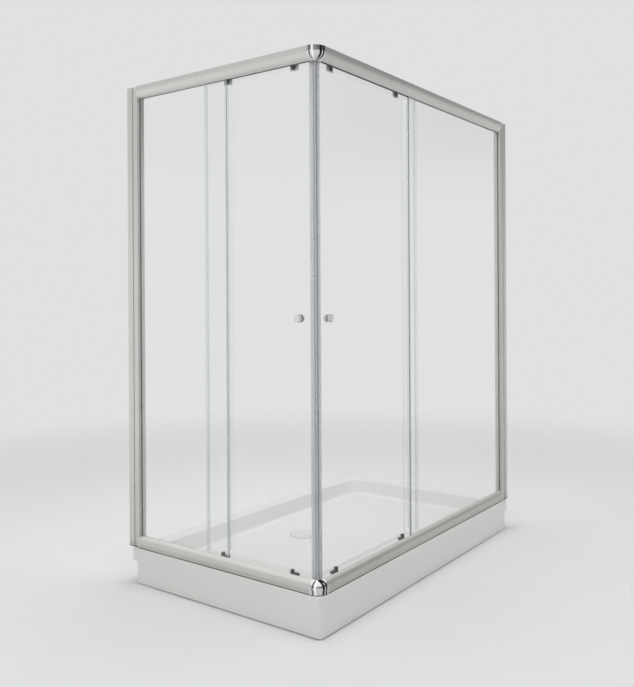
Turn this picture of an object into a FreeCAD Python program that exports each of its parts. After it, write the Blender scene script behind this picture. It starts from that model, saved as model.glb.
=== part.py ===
import FreeCAD, Part
import Sketcher
import math
import operator
import os

# A corner shower enclosure on a low tray. Two fixed glass panels stand beside the walls, and two
# glass doors slide inside them and meet at the front corner. The long side runs along X, the short
# side along Y, and Z is up. The origin is at the bottom, in the middle of the outer box.
# "left" is the short side and "right" is the long side, as seen from in front of the corner.
#
# Each side has its own directions: s runs from the front corner to the wall, v runs inwards from
# the tray's outer face, and z is up.

# Driving sizes in millimetres. Shares are plain ratios.
SIZES = {
    # Outer box
    "overall_length": 1530.0,
    "overall_width": 930.0,
    "tray_height": 136.0,
    "frame_height": 1786.0,
    # Clearance between pieces that move past each other
    "fit_gap": 0.3,
    # Radial clearance of a wheel on its axle
    "axle_gap": 0.05,
    # Tray shell
    "tray_wall_gap": 30.0,
    "tray_shell": 5.0,
    "tray_corner": 14.0,
    "tray_edge_round": 3.5,
    "basin_edge_round": 6.0,
    "basin_floor_round": 20.0,
    "rim_band": 50.0,
    "apron_end_gap": 25.0,
    "apron_floor_gap": 4.0,
    "front_ledge": 64.0,
    "wall_ledge": 62.0,
    "basin_depth": 66.0,
    "basin_corner": 85.0,
    "basin_slope": 26.0,
    # Board under the basin and the levelling legs
    "board_thick": 12.0,
    "board_margin": 14.0,
    "leg_radius": 5.0,
    "leg_seat": 4.0,
    "pad_radius": 25.0,
    "pad_height": 9.0,
    "pad_top_radius": 12.0,
    "nut_radius": 9.5,
    "nut_height": 8.0,
    # Waste
    "drain_along_share": 0.454,
    "drain_across_share": 0.655,
    "drain_radius": 45.0,
    "flange_radius": 57.0,
    "flange_thick": 3.0,
    "collar_wall": 3.0,
    "cover_radius": 56.0,
    "cover_rise": 7.0,
    "cover_thick": 2.5,
    "cover_stem_radius": 6.0,
    "waste_seal_thick": 2.0,
    "trap_radius": 54.0,
    "trap_wall": 3.0,
    "trap_floor_gap": 5.0,
    "outlet_radius": 20.0,
    "outlet_wall": 2.5,
    "outlet_shoulder": 6.0,
    "outlet_length": 45.0,
    # Glass and its strips
    "glass_thick": 5.0,
    "strip_thick": 2.0,
    "left_fixed_share": 0.4527,
    "right_fixed_share": 0.4105,
    # Rail section
    "rail_setback": 4.0,
    "rail_round": 40.0,
    "rail_round_start": 14.0,
    "lip_inset": 16.0,
    "rail_wall": 2.0,
    "rail_plate": 2.5,
    "slot_floor": 24.0,
    "slot_back_drop": 6.0,
    "door_gap": 7.0,
    "carrier_room": 6.0,
    "inner_lip": 16.0,
    "inner_wall_drop": 38.0,
    "track_rise": 14.0,
    "track_plate": 2.5,
    "track_reach": 8.5,
    "bead_inset": 3.5,
    "bead_width": 2.0,
    "bead_rise": 2.0,
    # Corner connectors
    "corner_reach": 48.0,
    "connector_proud": 1.0,
    "connector_back": 26.0,
    "spigot_length": 24.0,
    "spigot_height": 12.0,
    # Wall channel and side post
    "post_reach": 54.0,
    "post_wall": 2.0,
    "post_back_gap": 12.0,
    "channel_setback": 4.0,
    "channel_back_inset": 3.0,
    "channel_reach": 28.0,
    "channel_wall": 2.0,
    "wall_hole_radius": 2.75,
    "wall_hole_end": 150.0,
    "wall_hole_step": 600.0,
    "gasket_side": 3.0,
    "post_slot": 22.0,
    "gasket_back": 2.0,
    "end_block": 3.0,
    "screw_radius": 2.0,
    "screw_head_radius": 4.0,
    "screw_head": 2.2,
    "screw_length": 7.0,
    "screw_inset": 8.0,
    "screw_end": 260.0,
    # Clear seals
    "seal_wall": 1.4,
    "seal_grip": 6.0,
    "seal_nose": 2.0,
    "fin_thick": 1.0,
    "fin_gap": 0.6,
    "fin_end": 24.0,
    # Doors
    "door_lead": 50.0,
    "left_door_lap": 111.0,
    "right_door_lap": 67.0,
    "door_top_drop": 36.0,
    "door_bottom_rise": 40.0,
    "magnet_gap": 0.3,
    "magnet_skin": 1.6,
    "magnet_back": 1.2,
    "magnet_grip": 14.0,
    # Knobs
    "knob_along": 112.0,
    "knob_height": 1033.0,
    "knob_stop_gap": 40.0,
    "knob_radius": 14.0,
    "knob_length": 12.0,
    "knob_neck": 3.0,
    "knob_neck_radius": 9.0,
    "knob_edge_round": 3.0,
    "stud_radius": 4.0,
    "stud_seat": 6.0,
    "knob_hole_radius": 6.0,
    # Top rollers
    "front_roller": 129.0,
    "rear_roller_shift": 21.0,
    "front_guide": 135.0,
    "left_rear_inset": 83.0,
    "right_rear_inset": 113.0,
    "carrier_width": 34.0,
    "carrier_arm": 20.0,
    "carrier_foot": 21.0,
    "carrier_drop": 60.0,
    "carrier_thick": 4.0,
    "carrier_over_axle": 6.0,
    "cap_drop": 49.0,
    "cap_radius": 9.0,
    "cap_thick": 2.0,
    "cap_stem_radius": 4.0,
    "cap_hole_radius": 6.0,
    "wheel_radius": 11.0,
    "wheel_width": 6.0,
    "wheel_groove": 1.5,
    "axle_radius": 3.0,
    "axle_shoulder_radius": 5.0,
    "axle_shoulder": 4.2,
    "axle_end": 0.4,
    # Bottom guides
    "guide_width": 30.0,
    "guide_plate": 2.0,
    "guide_floor": 5.0,
    "guide_height": 8.0,
    "guide_tab": 8.0,
    "guide_tab_rise": 10.0,
    "guide_depth": 9.0,
    "plunger_width": 8.0,
    "plunger_thick": 3.0,
    "plunger_inset": 2.3,
    "plunger_foot": 5.0,
    "thumb_width": 16.0,
    "thumb_height": 3.0,
    "guide_wheel_radius": 8.0,
    "guide_wheel_width": 4.6,
    "guide_wheel_edge": 1.0,
    "guide_axle_radius": 2.0,
    "guide_wheel_gap": 0.5,
    # Door stops in the top rails
    "stop_length": 12.0,
    "stop_height": 13.5,
    "stop_depth": 8.0,
}

# Where the legs stand, as shares of the board's length and width
LEG_SHARES = [(0.07, 0.1), (0.5, 0.1), (0.93, 0.1), (0.07, 0.9), (0.5, 0.9), (0.93, 0.9)]

SHEET_NAME = "Sizes"
FULL_TURN = 360
QUARTER_TURN = 90
HALF_TURN = 180
POLYGON_SIDES = 6

doc = FreeCAD.newDocument("shower_enclosure")
sheet = doc.addObject("Spreadsheet::Sheet", SHEET_NAME)
for row, (name, number) in enumerate(SIZES.items(), start=1):
    sheet.set(f"A{row}", name)
    sheet.set(f"B{row}", str(number))
    sheet.setAlias(f"B{row}", name)
doc.recompute()


# A size knows its number and the sheet formula that gives it, so that sums stay bound to the sheet.
class Size:
    def __init__(self, value, formula):
        self.value = value
        self.formula = formula

    def __add__(self, other):
        return joined(self, "+", other)

    def __sub__(self, other):
        return joined(self, "-", other)

    def __mul__(self, other):
        return joined(self, "*", other)

    def __truediv__(self, other):
        return joined(self, "/", other)

    def __neg__(self):
        return joined(ZERO, "-", self)

    def root(self):
        return Size(math.sqrt(self.value), f"sqrt({self.formula})")


OPERATIONS = {"+": operator.add, "-": operator.sub, "*": operator.mul, "/": operator.truediv}
ZERO = Size(0.0, "0")


def as_size(number):
    return number if isinstance(number, Size) else Size(float(number), repr(float(number)))


def joined(first, sign, second):
    first = as_size(first)
    second = as_size(second)
    value = OPERATIONS[sign](first.value, second.value)
    return Size(value, f"({first.formula} {sign} {second.formula})")


class Namespace:
    pass


# Every sheet cell as a size, read as S.name
S = Namespace()
for name, number in SIZES.items():
    setattr(S, name, Size(number, f"{SHEET_NAME}.{name}"))

nodes = []


# Binding, placing and sketching helpers

def bind(obj, prop, size):
    obj.setExpression(prop, as_size(size).formula)


def place(obj, x, y, z):
    bind(obj, "Placement.Base.x", x)
    bind(obj, "Placement.Base.y", y)
    bind(obj, "Placement.Base.z", z)


def new_body(label):
    body = doc.addObject("PartDesign::Body", label)
    body.Label = label
    return body


def new_sketch(body, role, lift=None):
    plane = next(item for item in body.Origin.OriginFeatures if item.Role == role)
    sketch = body.newObject("Sketcher::SketchObject", f"{body.Name}_outline")
    sketch.AttachmentSupport = [(plane, "")]
    sketch.MapMode = "FlatFace"
    if lift is not None:
        bind(sketch, "AttachmentOffset.Base.z", lift)
    return sketch


def pin_point(constraints, formulas, geometry, position, x, y):
    for kind, axis, size in (("DistanceX", -2, x), ("DistanceY", -1, y)):
        if size is ZERO:
            constraints.append(Sketcher.Constraint("PointOnObject", geometry, position, axis))
        else:
            formulas[len(constraints)] = size.formula
            constraints.append(Sketcher.Constraint(kind, -1, 1, geometry, position, size.value))


def bind_constraints(sketch, constraints, formulas):
    first = sketch.ConstraintCount
    sketch.addConstraint(constraints)
    for index, formula in formulas.items():
        sketch.setExpression(f"Constraints[{first + index}]", formula)


def arc_between(start, end, radius, turn):
    chord = end - start
    left = FreeCAD.Vector(-chord.y, chord.x, 0).normalize()
    rise = math.sqrt(max(radius ** 2 - (chord.Length / 2) ** 2, 0))
    centre = (start + end) / 2 + left * (rise * turn)
    first, last = (start, end) if turn > 0 else (end, start)
    first_angle = math.atan2(first.y - centre.y, first.x - centre.x)
    last_angle = math.atan2(last.y - centre.y, last.x - centre.x)
    if last_angle < first_angle:
        last_angle += 2 * math.pi
    circle = Part.Circle(centre, FreeCAD.Vector(0, 0, 1), radius)
    return Part.ArcOfCircle(circle, first_angle, last_angle)


# Draws a closed outline. A corner is (x, y), or (x, y, radius, turn) where the side that leaves it is
# an arc: turn is 1 for an arc that turns left and -1 for one that turns right.
def draw(sketch, corners):
    first = sketch.GeometryCount
    geometry = []
    ends = []
    constraints = []
    formulas = {}
    for index, corner in enumerate(corners):
        following = corners[(index + 1) % len(corners)]
        start = FreeCAD.Vector(corner[0].value, corner[1].value, 0)
        end = FreeCAD.Vector(following[0].value, following[1].value, 0)
        if len(corner) == 4:
            radius, turn = corner[2:]
            geometry.append(arc_between(start, end, radius.value, turn))
            ends.append((1, 2) if turn > 0 else (2, 1))
            formulas[len(constraints)] = radius.formula
            constraints.append(Sketcher.Constraint("Radius", first + index, radius.value))
        else:
            geometry.append(Part.LineSegment(start, end))
            ends.append((1, 2))
    sketch.addGeometry(geometry, False)
    for index, corner in enumerate(corners):
        after = (index + 1) % len(corners)
        joint = (first + index, ends[index][1], first + after, ends[after][0])
        constraints.append(Sketcher.Constraint("Coincident", *joint))
        pin_point(constraints, formulas, first + index, ends[index][0], corner[0], corner[1])
    bind_constraints(sketch, constraints, formulas)


def draw_circle(sketch, x, y, radius):
    index = sketch.GeometryCount
    centre = FreeCAD.Vector(x.value, y.value, 0)
    sketch.addGeometry(Part.Circle(centre, FreeCAD.Vector(0, 0, 1), radius.value), False)
    constraints = [Sketcher.Constraint("Radius", index, radius.value)]
    formulas = {0: radius.formula}
    pin_point(constraints, formulas, index, 3, x, y)
    bind_constraints(sketch, constraints, formulas)


def box_corners(x0, y0, x1, y1):
    return [(x0, y0), (x1, y0), (x1, y1), (x0, y1)]


def rounded_corners(x0, y0, x1, y1, radius):
    return [
        (x0 + radius, y0), (x1 - radius, y0, radius, 1),
        (x1, y0 + radius), (x1, y1 - radius, radius, 1),
        (x1 - radius, y1), (x0 + radius, y1, radius, 1),
        (x0, y1 - radius), (x0, y0 + radius, radius, 1),
    ]


def pad(body, sketch, length, back=False):
    feature = body.newObject("PartDesign::Pad", f"{body.Name}_pad")
    feature.Profile = sketch
    feature.Reversed = back
    bind(feature, "Length", length)
    return feature


def pocket(body, sketch, depth=None, back=False):
    feature = body.newObject("PartDesign::Pocket", f"{body.Name}_pocket")
    feature.Profile = sketch
    feature.Reversed = back
    if depth is None:
        feature.Type = "ThroughAll"
        feature.SideType = "Symmetric"
    else:
        bind(feature, "Length", depth)
    return feature


def turn(body, sketch, axis, angle=FULL_TURN, cut=False):
    kind = "Groove" if cut else "Revolution"
    feature = body.newObject(f"PartDesign::{kind}", f"{body.Name}_{kind.lower()}")
    feature.Profile = sketch
    feature.ReferenceAxis = (sketch, [axis])
    feature.Angle = angle
    return feature


def loft(body, first, last, cut=False):
    kind = "SubtractiveLoft" if cut else "AdditiveLoft"
    feature = body.newObject(f"PartDesign::{kind}", f"{body.Name}_loft")
    feature.Profile = first
    feature.Sections = [last]
    feature.Ruled = True
    return feature


def cylinder(label, x, y, z, radius, height):
    solid = doc.addObject("Part::Cylinder", label)
    bind(solid, "Radius", radius)
    bind(solid, "Height", height)
    place(solid, x, y, z)
    return solid


def cut(label, base, tool):
    result = doc.addObject("Part::Cut", label)
    result.Base = base
    result.Tool = tool
    return result


def group(label, members):
    compound = doc.addObject("Part::Compound", label)
    compound.Label = label
    compound.Links = members
    nodes.append(compound)
    return compound


def node(obj):
    nodes.append(obj)
    return obj


# Overall places: the front corner, and the levels that the frame is built on
corner_x = S.overall_length / -2
corner_y = S.overall_width / -2
base_z = S.tray_height
top_z = S.tray_height + S.frame_height

# Depths of a side's layers, measured inwards from the tray's outer face
rail_face = S.rail_setback
lip_v = rail_face + S.lip_inset
slot_outer = lip_v + S.rail_wall
fixed_outer = slot_outer + S.strip_thick
fixed_inner = fixed_outer + S.glass_thick
slot_inner = fixed_inner + S.strip_thick
track_wall = slot_inner + S.rail_wall
door_outer = track_wall + S.door_gap
door_inner = door_outer + S.glass_thick
inner_wall = door_inner + S.carrier_room
rail_back = inner_wall + S.rail_wall

# The rail's convex face is an arc about a centre in the rail's depth, and its height follows
round_centre = rail_face + S.rail_round
lip_run = S.rail_round - S.lip_inset


def round_height(radius):
    return S.rail_round_start + (radius * radius - lip_run * lip_run).root()


rail_height = round_height(S.rail_round)
top_rail_z = top_z - rail_height

# Door glass levels, and the wheel axles that stand on the tracks
door_bottom = base_z + S.door_bottom_rise
door_top = top_z - S.door_top_drop
door_height = door_top - door_bottom
track_top = S.track_rise + S.track_plate
axle_z = top_rail_z + track_top + S.bead_rise + S.fit_gap + S.wheel_radius - S.wheel_groove
guide_axle_z = base_z + S.rail_plate + S.fit_gap + S.guide_wheel_radius


# One side of the enclosure, with the sketch planes that its sections, faces and plans lie on. The
# door laps behind the fixed glass, and opens until its knob comes near the fixed glass's free edge.
class Side:
    def __init__(self, name, reach, fixed_share, door_lap, rear_inset):
        self.name = name
        self.reach = reach
        self.fixed_edge = reach * fixed_share
        self.door_edge = self.fixed_edge + door_lap
        self.guides = {"front": S.front_guide, "rear": self.door_edge - rear_inset}
        self.rollers = {"front": S.front_roller, "rear": self.guides["rear"] - S.rear_roller_shift}
        self.travel = self.fixed_edge - S.knob_along - S.knob_stop_gap
        self.along_x = name == "right"
        self.section_plane = "YZ_Plane" if self.along_x else "XZ_Plane"
        self.section_back = not self.along_x
        self.face_plane = "XZ_Plane" if self.along_x else "YZ_Plane"

    def label(self, word):
        return f"{word}_{self.name}"

    def seat(self, obj, s, v, z):
        along, across = (s, v) if self.along_x else (v, s)
        place(obj, corner_x + along, corner_y + across, z)

    def plan(self, corners):
        return corners if self.along_x else [(v, s) for s, v in corners]

    def face_lift(self, v):
        return -v if self.along_x else v


SIDES = [
    Side("left", S.overall_width, S.left_fixed_share, S.left_door_lap, S.left_rear_inset),
    Side("right", S.overall_length, S.right_fixed_share, S.right_door_lap, S.right_rear_inset),
]


# A piece of one section that runs along a side
def run_along(label, side, outlines, s, v, z, length):
    body = new_body(label)
    sketch = new_sketch(body, side.section_plane)
    for outline in outlines:
        draw(sketch, outline)
    pad(body, sketch, length, back=side.section_back)
    side.seat(body, s, v, z)
    return body


# A piece of one plan that stands upright
def upright(label, side, outlines, s, v, z, height):
    body = new_body(label)
    sketch = new_sketch(body, "XY_Plane")
    for outline in outlines:
        draw(sketch, side.plan(outline))
    pad(body, sketch, height)
    side.seat(body, s, v, z)
    return body


# A plate seen square on from outside the side
def plate(label, side, outline, s, v, z, thick):
    body = new_body(label)
    sketch = new_sketch(body, side.face_plane)
    draw(sketch, outline)
    pad(body, sketch, thick, back=side.along_x)
    side.seat(body, s, v, z)
    return body


# A round piece turned about an axis that points inwards: corners are (v, radius)
def turned(label, side, corners, s, v, z):
    body = new_body(label)
    sketch = new_sketch(body, side.section_plane)
    draw(sketch, corners)
    turn(body, sketch, "H_Axis")
    side.seat(body, s, v, z)
    return body


def block(label, side, s, v, z, length, depth, height):
    solid = doc.addObject("Part::Box", label)
    bind(solid, "Length", length if side.along_x else depth)
    bind(solid, "Width", depth if side.along_x else length)
    bind(solid, "Height", height)
    side.seat(solid, s, v, z)
    return solid


# The tray: a rim on a deep band, two aprons below it, and a basin that slopes to its floor

tray_length = S.overall_length - S.tray_wall_gap
tray_width = S.overall_width - S.tray_wall_gap
band_z = S.tray_height - S.rim_band
basin_z = S.tray_height - S.basin_depth
floor_z = basin_z - S.tray_shell
drain_along = tray_length * S.drain_along_share
drain_across = tray_width * S.drain_across_share


def tray_outline(inset, length, width):
    corner = S.tray_corner - inset if inset is not ZERO else S.tray_corner
    return [
        (inset + corner, inset), (length, inset), (length, width),
        (inset, width), (inset, inset + corner, corner, 1),
    ]


def basin_outline(inset):
    near = S.front_ledge + inset
    far_x = tray_length - S.wall_ledge - inset
    far_y = tray_width - S.wall_ledge - inset
    return rounded_corners(near, near, far_x, far_y, S.basin_corner - inset)


def outer_rim_edges(shape):
    found = []
    for index, edge in enumerate(shape.Edges, start=1):
        middle = edge.valueAt((edge.FirstParameter + edge.LastParameter) / 2)
        on_top = abs(middle.z - S.tray_height.value) < S.fit_gap.value
        near_front = min(middle.x, middle.y) < S.tray_corner.value
        if on_top and near_front:
            found.append(f"Edge{index}")
    return found


def basin_edges(shape, level):
    found = []
    for index, edge in enumerate(shape.Edges, start=1):
        box = edge.BoundBox
        at_level = max(abs(box.ZMin - level.value), abs(box.ZMax - level.value)) < S.fit_gap.value
        inside_x = box.XMin > S.tray_corner.value and box.XMax < tray_length.value - S.tray_corner.value
        inside_y = box.YMin > S.tray_corner.value and box.YMax < tray_width.value - S.tray_corner.value
        drain_edge = abs(box.XLength - S.drain_radius.value * 2) < S.fit_gap.value
        if at_level and inside_x and inside_y and not drain_edge:
            found.append(f"Edge{index}")
    return found


def basin_rim_edges(shape):
    return basin_edges(shape, S.tray_height)


def basin_floor_edges(shape):
    return basin_edges(shape, basin_z)


def make_tray():
    body = new_body("shower_tray")
    plate_sketch = new_sketch(body, "XY_Plane", S.tray_height - S.tray_shell)
    draw(plate_sketch, tray_outline(ZERO, tray_length, tray_width))
    pad(body, plate_sketch, S.tray_shell)

    band_sketch = new_sketch(body, "XY_Plane", band_z)
    draw(band_sketch, tray_outline(ZERO, tray_length, tray_width))
    draw(band_sketch, tray_outline(S.tray_shell, tray_length - S.tray_shell, tray_width - S.tray_shell))
    pad(body, band_sketch, S.rim_band - S.tray_shell)

    apron_sketch = new_sketch(body, "XY_Plane", S.apron_floor_gap)
    inner_corner = S.tray_corner - S.tray_shell
    apron_x = tray_length - S.apron_end_gap
    apron_y = tray_width - S.apron_end_gap
    draw(apron_sketch, [
        (S.tray_corner, ZERO), (apron_x, ZERO), (apron_x, S.tray_shell),
        (S.tray_shell + inner_corner, S.tray_shell, inner_corner, -1),
        (S.tray_shell, S.tray_shell + inner_corner), (S.tray_shell, apron_y),
        (ZERO, apron_y), (ZERO, S.tray_corner, S.tray_corner, 1),
    ])
    pad(body, apron_sketch, band_z - S.apron_floor_gap)

    bowl_top = new_sketch(body, "XY_Plane", S.tray_height - S.tray_shell)
    draw(bowl_top, basin_outline(-S.tray_shell))
    bowl_floor = new_sketch(body, "XY_Plane", floor_z)
    draw(bowl_floor, basin_outline(S.basin_slope - S.tray_shell))
    loft(body, bowl_top, bowl_floor)

    basin_top = new_sketch(body, "XY_Plane", S.tray_height)
    draw(basin_top, basin_outline(ZERO))
    basin_floor = new_sketch(body, "XY_Plane", basin_z)
    draw(basin_floor, basin_outline(S.basin_slope))
    loft(body, basin_top, basin_floor, cut=True)

    drain_sketch = new_sketch(body, "XY_Plane", floor_z)
    draw_circle(drain_sketch, drain_along, drain_across, S.drain_radius)
    pocket(body, drain_sketch)

    for label, find_edges, radius in (
        ("rim_rounding", outer_rim_edges, S.tray_edge_round),
        ("basin_rounding", basin_rim_edges, S.basin_edge_round),
        ("floor_rounding", basin_floor_edges, S.basin_floor_round),
    ):
        doc.recompute()
        shell = body.Tip
        rounding = body.newObject("PartDesign::Fillet", label)
        rounding.Base = (shell, find_edges(shell.Shape))
        bind(rounding, "Radius", radius)
    place(body, corner_x, corner_y, ZERO)
    return node(body)


# The board under the basin floor, with room for the waste and its pipe, and the legs that carry it

board_z = floor_z - S.board_thick
board_near = S.front_ledge + S.basin_slope + S.board_margin
board_far_x = tray_length - S.wall_ledge - S.basin_slope - S.board_margin
board_far_y = tray_width - S.wall_ledge - S.basin_slope - S.board_margin


def make_board():
    body = new_body("tray_base_board")
    sketch = new_sketch(body, "XY_Plane")
    draw(sketch, box_corners(board_near, board_near, board_far_x, board_far_y))
    draw_circle(sketch, drain_along, drain_across, S.flange_radius + S.board_margin)
    pad(body, sketch, S.board_thick)
    notch = new_sketch(body, "XY_Plane")
    half = S.outlet_radius + S.board_margin
    draw(notch, box_corners(drain_along - half, drain_across, drain_along + half, board_far_y))
    pocket(body, notch)
    place(body, corner_x, corner_y, board_z)
    return node(body)


def make_legs():
    rods = []
    pads = []
    nuts = []
    for number, (x_share, y_share) in enumerate(LEG_SHARES, start=1):
        x = corner_x + board_near + (board_far_x - board_near) * x_share
        y = corner_y + board_near + (board_far_y - board_near) * y_share
        rods.append(cylinder(f"leg_rod_{number}", x, y, S.leg_seat, S.leg_radius, board_z - S.leg_seat))

        cone = doc.addObject("Part::Cone", f"pad_cone_{number}")
        bind(cone, "Radius1", S.pad_radius)
        bind(cone, "Radius2", S.pad_top_radius)
        bind(cone, "Height", S.pad_height)
        place(cone, x, y, ZERO)
        seat = cylinder(f"pad_seat_{number}", x, y, S.leg_seat, S.leg_radius, S.pad_height)
        pads.append(cut(f"leg_pad_{number}", cone, seat))

        prism = doc.addObject("Part::Prism", f"nut_prism_{number}")
        prism.Polygon = POLYGON_SIDES
        bind(prism, "Circumradius", S.nut_radius)
        bind(prism, "Height", S.nut_height)
        place(prism, x, y, board_z - S.nut_height)
        hole = cylinder(f"nut_hole_{number}", x, y, board_z - S.nut_height, S.leg_radius, S.nut_height)
        nuts.append(cut(f"leg_nut_{number}", prism, hole))
    group("leg_rods", rods)
    group("leg_pads", pads)
    group("leg_nuts", nuts)


# The waste: a flange through the floor, a domed cover on it, a seal and a trap below

drain_x = corner_x + drain_along
drain_y = corner_y + drain_across
collar_inner = S.drain_radius - S.fit_gap - S.collar_wall
seal_z = floor_z - S.waste_seal_thick
collar_z = seal_z - S.collar_wall


def make_waste():
    flange = new_body("waste_flange")
    sketch = new_sketch(flange, "XZ_Plane")
    collar_outer = S.drain_radius - S.fit_gap
    draw(sketch, [
        (collar_inner, ZERO), (collar_outer, ZERO), (collar_outer, basin_z - collar_z),
        (S.flange_radius, basin_z - collar_z), (S.flange_radius, basin_z - collar_z + S.flange_thick),
        (collar_inner, basin_z - collar_z + S.flange_thick),
    ])
    turn(flange, sketch, "V_Axis")
    place(flange, drain_x, drain_y, collar_z)
    node(flange)

    cover = new_body("waste_cover")
    sketch = new_sketch(cover, "XZ_Plane")
    cover_z = basin_z + S.flange_thick
    skirt_inner = S.cover_radius - S.cover_thick
    draw(sketch, [
        (ZERO, S.cover_rise - S.cover_thick), (skirt_inner - S.cover_rise, S.cover_rise - S.cover_thick),
        (skirt_inner, ZERO), (S.cover_radius, ZERO),
        (S.cover_radius - S.cover_rise, S.cover_rise), (ZERO, S.cover_rise),
    ])
    turn(cover, sketch, "V_Axis")
    stem = new_sketch(cover, "XY_Plane", S.cover_rise - S.cover_thick)
    draw_circle(stem, ZERO, ZERO, S.cover_stem_radius)
    pad(cover, stem, S.cover_rise + S.flange_thick, back=True)
    place(cover, drain_x, drain_y, cover_z)
    node(cover)

    seal = new_body("waste_seal")
    sketch = new_sketch(seal, "XY_Plane")
    draw_circle(sketch, ZERO, ZERO, S.trap_radius)
    draw_circle(sketch, ZERO, ZERO, S.drain_radius)
    pad(seal, sketch, S.waste_seal_thick)
    place(seal, drain_x, drain_y, seal_z)
    node(seal)

    trap = new_body("waste_trap")
    trap_height = seal_z - S.trap_floor_gap
    sketch = new_sketch(trap, "XZ_Plane")
    draw(sketch, box_corners(ZERO, ZERO, S.trap_radius, trap_height))
    turn(trap, sketch, "V_Axis")
    outlet_z = S.trap_wall + S.outlet_radius
    shoulder_reach = S.trap_radius + S.outlet_shoulder
    outlet_reach = shoulder_reach + S.outlet_length
    shoulder_radius = S.outlet_radius + S.outlet_wall
    for radius, reach in ((shoulder_radius, shoulder_reach), (S.outlet_radius, outlet_reach)):
        sketch = new_sketch(trap, "XZ_Plane")
        draw_circle(sketch, ZERO, outlet_z, radius)
        pad(trap, sketch, reach, back=True)
    sketch = new_sketch(trap, "XZ_Plane")
    draw_circle(sketch, ZERO, outlet_z, S.outlet_radius - S.outlet_wall)
    pocket(trap, sketch, outlet_reach)
    sketch = new_sketch(trap, "XZ_Plane")
    draw(sketch, box_corners(ZERO, S.trap_wall, S.drain_radius, trap_height))
    turn(trap, sketch, "V_Axis", cut=True)
    place(trap, drain_x, drain_y, S.trap_floor_gap)
    node(trap)


# The rails. Both have a convex face, a hollow behind it and a slot for the fixed glass. The bottom
# rail has a channel for the guide wheels, and the top rail has a beaded track for the rollers.

hollow_round = S.rail_round - S.rail_wall
hollow_face = rail_face + S.rail_wall


def bottom_section():
    return [
        (rail_face, ZERO), (rail_back, ZERO), (rail_back, S.inner_lip), (inner_wall, S.inner_lip),
        (inner_wall, S.rail_plate), (track_wall, S.rail_plate),
        (track_wall, rail_height - S.slot_back_drop), (slot_inner, rail_height - S.slot_back_drop),
        (slot_inner, S.slot_floor), (slot_outer, S.slot_floor),
        (slot_outer, rail_height), (lip_v, rail_height, S.rail_round, 1),
        (rail_face, S.rail_round_start),
    ]


def bottom_hollow():
    return [
        (hollow_face, S.rail_plate), (slot_inner, S.rail_plate),
        (slot_inner, S.slot_floor - S.rail_wall), (lip_v, S.slot_floor - S.rail_wall),
        (lip_v, round_height(hollow_round), hollow_round, 1), (hollow_face, S.rail_round_start),
    ]


def top_section():
    ledge_end = track_wall + S.track_reach
    bead_start = track_wall + S.bead_inset
    bead_end = bead_start + S.bead_width
    bead_top = track_top + S.bead_rise
    roof = rail_height - S.rail_plate
    return [
        (rail_face, rail_height), (rail_face, rail_height - S.rail_round_start, S.rail_round, 1),
        (lip_v, ZERO), (slot_outer, ZERO), (slot_outer, rail_height - S.slot_floor),
        (slot_inner, rail_height - S.slot_floor), (slot_inner, ZERO), (track_wall, ZERO),
        (track_wall, S.track_rise), (ledge_end, S.track_rise), (ledge_end, track_top),
        (bead_end, track_top), (bead_end, bead_top), (bead_start, bead_top), (bead_start, track_top),
        (track_wall, track_top), (track_wall, roof), (inner_wall, roof),
        (inner_wall, rail_height - S.inner_wall_drop), (rail_back, rail_height - S.inner_wall_drop),
        (rail_back, rail_height),
    ]


def top_hollow():
    roof = rail_height - S.rail_plate
    slot_roof = rail_height - S.slot_floor + S.rail_wall
    return [
        (hollow_face, roof), (hollow_face, rail_height - S.rail_round_start, hollow_round, 1),
        (lip_v, rail_height - round_height(hollow_round)), (lip_v, slot_roof),
        (slot_inner, slot_roof), (slot_inner, roof),
    ]


def make_rail(label, side, outlines, z):
    length = side.reach - S.post_reach - S.end_block - S.corner_reach
    body = run_along(label, side, outlines, S.corner_reach, ZERO, z, length)
    mitre = new_sketch(body, "XY_Plane")
    depth = rail_back - S.corner_reach
    draw(mitre, side.plan([(ZERO, S.corner_reach), (depth, rail_back), (ZERO, rail_back)]))
    pocket(body, mitre)
    return node(body)


# The two rails of a level meet behind the corner connector in a mitre
def make_rails(side):
    make_rail(side.label("bottom_rail"), side, [bottom_section(), bottom_hollow()], base_z)
    make_rail(side.label("top_rail"), side, [top_section(), top_hollow()], top_rail_z)


# An end block closes each rail against the side post, with a spigot in the rail's hollow
spigot_near = hollow_face + S.rail_wall
spigot_far = lip_v - S.rail_wall


def make_end_block(side, level, section, z, spigot_z):
    start = side.reach - S.post_reach - S.end_block
    body = run_along(side.label(f"{level}_end_block"), side, [section], start, ZERO, z, S.end_block)
    sketch = new_sketch(body, side.section_plane)
    draw(sketch, box_corners(spigot_near, spigot_z, spigot_far, spigot_z + S.spigot_height))
    pad(body, sketch, S.spigot_length, back=not side.section_back)
    return body


bottom_spigot = S.rail_plate + S.fit_gap
top_spigot = rail_height - S.rail_plate - S.fit_gap - S.spigot_height


def make_end_blocks():
    blocks = []
    for side in SIDES:
        blocks.append(make_end_block(side, "bottom", bottom_section(), base_z, bottom_spigot))
        blocks.append(make_end_block(side, "top", top_section(), top_rail_z, top_spigot))
    group("rail_end_blocks", blocks)


# A corner connector is the rail's convex face turned through a quarter about the corner's axis. It
# stands a little proud of the rails, has a plate that closes the corner, and a spigot for each rail.
connector_round = S.rail_round + S.connector_proud
connector_height = round_height(connector_round)
connector_face = S.corner_reach - rail_face + S.connector_proud
connector_inner = S.corner_reach - S.connector_back
connector_lip = S.corner_reach - lip_v


def bottom_corner_section():
    return [
        (ZERO, ZERO), (connector_face, ZERO), (connector_face, S.rail_round_start, connector_round, 1),
        (connector_lip, connector_height), (connector_inner, connector_height),
        (connector_inner, S.rail_plate), (ZERO, S.rail_plate),
    ]


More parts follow.
